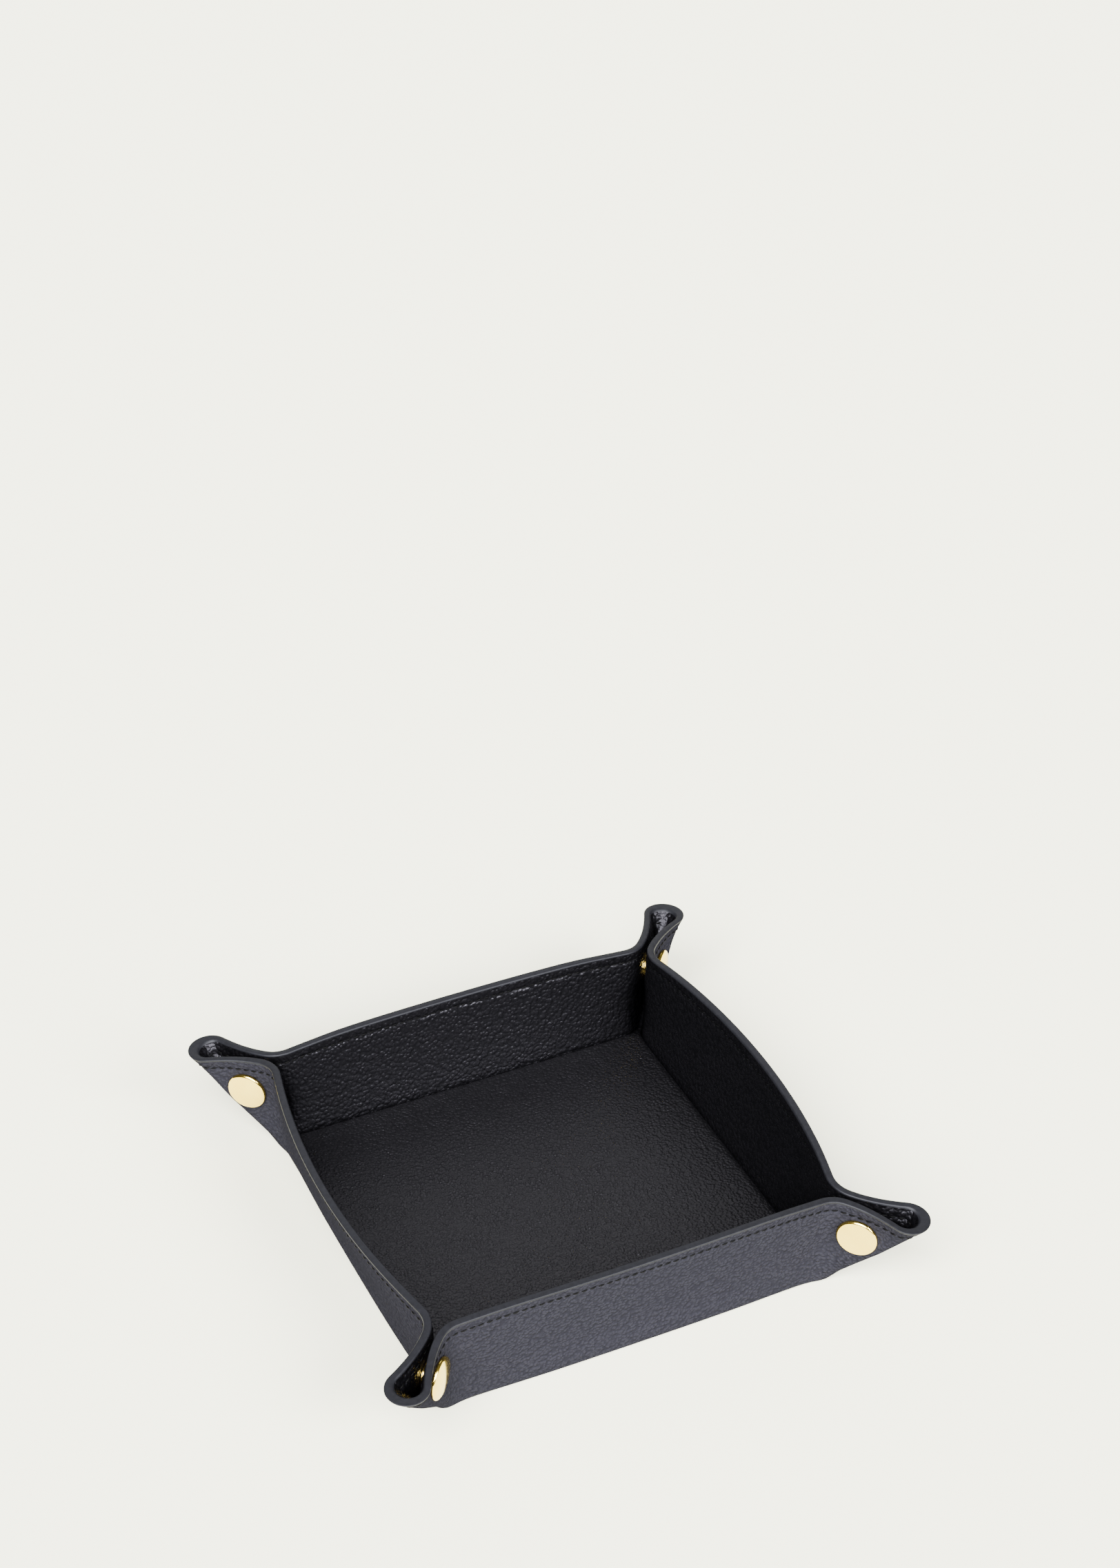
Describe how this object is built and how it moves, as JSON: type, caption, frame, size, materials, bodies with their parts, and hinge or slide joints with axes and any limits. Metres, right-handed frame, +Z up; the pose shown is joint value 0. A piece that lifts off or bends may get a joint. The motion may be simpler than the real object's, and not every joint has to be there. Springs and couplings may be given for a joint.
{
  "type": "valet tray",
  "caption": "Square leather valet tray: walls folded up from a padded base, corners pinched outwards into ears that spring snaps hold shut and that open to let it fold flat.",
  "frame": {"origin": "middle of the base's underside, on the surface it stands on", "axes": "+Z up; -Y towards the front wall; +X along the front wall to the right"},
  "size_m": [0.1696, 0.1696, 0.0346],
  "materials": {
    "leather": "black pebbled full grain, satin",
    "lining": "black pebbled full grain, satin",
    "board": "grey fibre board, matte",
    "gold_cap": "polished pale gold plate",
    "snap_works": "gold plate",
    "snap_spring": "spring wire",
    "thread": "black waxed thread",
    "edge": "dark grey edge paint, satin"
  },
  "bodies": {
    "base": {"base_leather": "leather", "base_board": "board", "base_lining": "lining"},
    "wall_front": {"wall_leather_front": "leather", "wall_lining_front": "lining"},
    "wall_back": {"wall_leather_back": "leather", "wall_lining_back": "lining"},
    "wall_right": {"wall_leather_right": "leather", "wall_lining_right": "lining"},
    "wall_left": {"wall_leather_left": "leather", "wall_lining_left": "lining"},
    "ear_fr_a": {"ear_leather_fr_a": "leather", "ear_lining_fr_a": "lining", "snap_cap_fr": "gold_cap", "snap_socket_fr": "snap_works", "snap_ring_fr": "snap_spring"},
    "tip_fr_a": {"ear_tip_fr_a": "leather"},
    "ear_fr_b": {"ear_leather_fr_b": "leather", "ear_lining_fr_b": "lining", "snap_stud_fr": "snap_works", "snap_post_fr": "gold_cap"},
    "tip_fr_b": {"ear_tip_fr_b": "leather"},
    "ear_fl_a": {"ear_leather_fl_a": "leather", "ear_lining_fl_a": "lining", "snap_cap_fl": "gold_cap", "snap_socket_fl": "snap_works", "snap_ring_fl": "snap_spring"},
    "tip_fl_a": {"ear_tip_fl_a": "leather"},
    "ear_fl_b": {"ear_leather_fl_b": "leather", "ear_lining_fl_b": "lining", "snap_stud_fl": "snap_works", "snap_post_fl": "gold_cap"},
    "tip_fl_b": {"ear_tip_fl_b": "leather"},
    "ear_br_a": {"ear_leather_br_a": "leather", "ear_lining_br_a": "lining", "snap_cap_br": "gold_cap", "snap_socket_br": "snap_works", "snap_ring_br": "snap_spring"},
    "tip_br_a": {"ear_tip_br_a": "leather"},
    "ear_br_b": {"ear_leather_br_b": "leather", "ear_lining_br_b": "lining", "snap_stud_br": "snap_works", "snap_post_br": "gold_cap"},
    "tip_br_b": {"ear_tip_br_b": "leather"},
    "ear_bl_a": {"ear_leather_bl_a": "leather", "ear_lining_bl_a": "lining", "snap_cap_bl": "gold_cap", "snap_socket_bl": "snap_works", "snap_ring_bl": "snap_spring"},
    "tip_bl_a": {"ear_tip_bl_a": "leather"},
    "ear_bl_b": {"ear_leather_bl_b": "leather", "ear_lining_bl_b": "lining", "snap_stud_bl": "snap_works", "snap_post_bl": "gold_cap"},
    "tip_bl_b": {"ear_tip_bl_b": "leather"}
  },
  "joints": [
    {"name": "fold_front", "type": "hinge", "parent": "base", "child": "wall_front", "pos_m": [0, -0.0625, 0], "axis": [1, 0, 0], "range_deg": [0, 73]},
    {"name": "fold_back", "type": "hinge", "parent": "base", "child": "wall_back", "pos_m": [0, 0.0625, 0], "axis": [-1, 0, 0], "range_deg": [0, 73]},
    {"name": "fold_right", "type": "hinge", "parent": "base", "child": "wall_right", "pos_m": [0.0625, 0, 0], "axis": [0, 1, 0], "range_deg": [0, 73]},
    {"name": "fold_left", "type": "hinge", "parent": "base", "child": "wall_left", "pos_m": [-0.0625, 0, 0], "axis": [0, -1, 0], "range_deg": [0, 73]},
    {"name": "turn_ear_fr_a", "type": "hinge", "parent": "wall_front", "child": "ear_fr_a", "pos_m": [0.05988, -0.06101, 0.001], "axis": [0.154, -0.154, 0.976], "range_deg": [0, 47]},
    {"name": "turn_tip_fr_a", "type": "hinge", "parent": "ear_fr_a", "child": "tip_fr_a", "pos_m": [0.07538, -0.07758, 0.02018], "axis": [-0.4946, 0.5361, -0.684], "range_deg": [0, 85.43], "deforming": ["ear_tip_fr_a"]},
    {"name": "turn_ear_fr_b", "type": "hinge", "parent": "wall_right", "child": "ear_fr_b", "pos_m": [0.06101, -0.05988, 0.001], "axis": [-0.154, 0.154, -0.976], "range_deg": [0, 47]},
    {"name": "turn_tip_fr_b", "type": "hinge", "parent": "ear_fr_b", "child": "tip_fr_b", "pos_m": [0.07758, -0.07538, 0.02018], "axis": [0.5361, -0.4946, 0.684], "range_deg": [0, 85.43], "deforming": ["ear_tip_fr_b"]},
    {"name": "turn_ear_fl_a", "type": "hinge", "parent": "wall_front", "child": "ear_fl_a", "pos_m": [-0.05988, -0.06101, 0.001], "axis": [0.154, 0.154, -0.976], "range_deg": [0, 47]},
    {"name": "turn_tip_fl_a", "type": "hinge", "parent": "ear_fl_a", "child": "tip_fl_a", "pos_m": [-0.07538, -0.07758, 0.02018], "axis": [-0.4946, -0.5361, 0.684], "range_deg": [0, 85.43], "deforming": ["ear_tip_fl_a"]},
    {"name": "turn_ear_fl_b", "type": "hinge", "parent": "wall_left", "child": "ear_fl_b", "pos_m": [-0.06101, -0.05988, 0.001], "axis": [-0.154, -0.154, 0.976], "range_deg": [0, 47]},
    {"name": "turn_tip_fl_b", "type": "hinge", "parent": "ear_fl_b", "child": "tip_fl_b", "pos_m": [-0.07758, -0.07538, 0.02018], "axis": [0.5361, 0.4946, -0.684], "range_deg": [0, 85.43], "deforming": ["ear_tip_fl_b"]},
    {"name": "turn_ear_br_a", "type": "hinge", "parent": "wall_back", "child": "ear_br_a", "pos_m": [0.05988, 0.06101, 0.001], "axis": [-0.154, -0.154, -0.976], "range_deg": [0, 47]},
    {"name": "turn_tip_br_a", "type": "hinge", "parent": "ear_br_a", "child": "tip_br_a", "pos_m": [0.07538, 0.07758, 0.02018], "axis": [0.4946, 0.5361, 0.684], "range_deg": [0, 85.43], "deforming": ["ear_tip_br_a"]},
    {"name": "turn_ear_br_b", "type": "hinge", "parent": "wall_right", "child": "ear_br_b", "pos_m": [0.06101, 0.05988, 0.001], "axis": [0.154, 0.154, 0.976], "range_deg": [0, 47]},
    {"name": "turn_tip_br_b", "type": "hinge", "parent": "ear_br_b", "child": "tip_br_b", "pos_m": [0.07758, 0.07538, 0.02018], "axis": [-0.5361, -0.4946, -0.684], "range_deg": [0, 85.43], "deforming": ["ear_tip_br_b"]},
    {"name": "turn_ear_bl_a", "type": "hinge", "parent": "wall_back", "child": "ear_bl_a", "pos_m": [-0.05988, 0.06101, 0.001], "axis": [-0.154, 0.154, 0.976], "range_deg": [0, 47]},
    {"name": "turn_tip_bl_a", "type": "hinge", "parent": "ear_bl_a", "child": "tip_bl_a", "pos_m": [-0.07538, 0.07758, 0.02018], "axis": [0.4946, -0.5361, -0.684], "range_deg": [0, 85.43], "deforming": ["ear_tip_bl_a"]},
    {"name": "turn_ear_bl_b", "type": "hinge", "parent": "wall_left", "child": "ear_bl_b", "pos_m": [-0.06101, 0.05988, 0.001], "axis": [0.154, -0.154, -0.976], "range_deg": [0, 47]},
    {"name": "turn_tip_bl_b", "type": "hinge", "parent": "ear_bl_b", "child": "tip_bl_b", "pos_m": [-0.07758, 0.07538, 0.02018], "axis": [-0.5361, 0.4946, 0.684], "range_deg": [0, 85.43], "deforming": ["ear_tip_bl_b"]}
  ],
  "couplings": [
    {"joint": "fold_back", "follows": "fold_front", "ratio": 1},
    {"joint": "fold_right", "follows": "fold_front", "ratio": 1},
    {"joint": "fold_left", "follows": "fold_front", "ratio": 1},
    {"joint": "turn_ear_fr_a", "follows": "fold_front", "ratio": 0.64383},
    {"joint": "turn_tip_fr_a", "follows": "fold_front", "ratio": 1.1703},
    {"joint": "turn_ear_fr_b", "follows": "fold_front", "ratio": 0.64383},
    {"joint": "turn_tip_fr_b", "follows": "fold_front", "ratio": 1.1703},
    {"joint": "turn_ear_fl_a", "follows": "fold_front", "ratio": 0.64383},
    {"joint": "turn_tip_fl_a", "follows": "fold_front", "ratio": 1.1703},
    {"joint": "turn_ear_fl_b", "follows": "fold_front", "ratio": 0.64383},
    {"joint": "turn_tip_fl_b", "follows": "fold_front", "ratio": 1.1703},
    {"joint": "turn_ear_br_a", "follows": "fold_front", "ratio": 0.64383},
    {"joint": "turn_tip_br_a", "follows": "fold_front", "ratio": 1.1703},
    {"joint": "turn_ear_br_b", "follows": "fold_front", "ratio": 0.64383},
    {"joint": "turn_tip_br_b", "follows": "fold_front", "ratio": 1.1703},
    {"joint": "turn_ear_bl_a", "follows": "fold_front", "ratio": 0.64383},
    {"joint": "turn_tip_bl_a", "follows": "fold_front", "ratio": 1.1703},
    {"joint": "turn_ear_bl_b", "follows": "fold_front", "ratio": 0.64383},
    {"joint": "turn_tip_bl_b", "follows": "fold_front", "ratio": 1.1703}
  ]
}
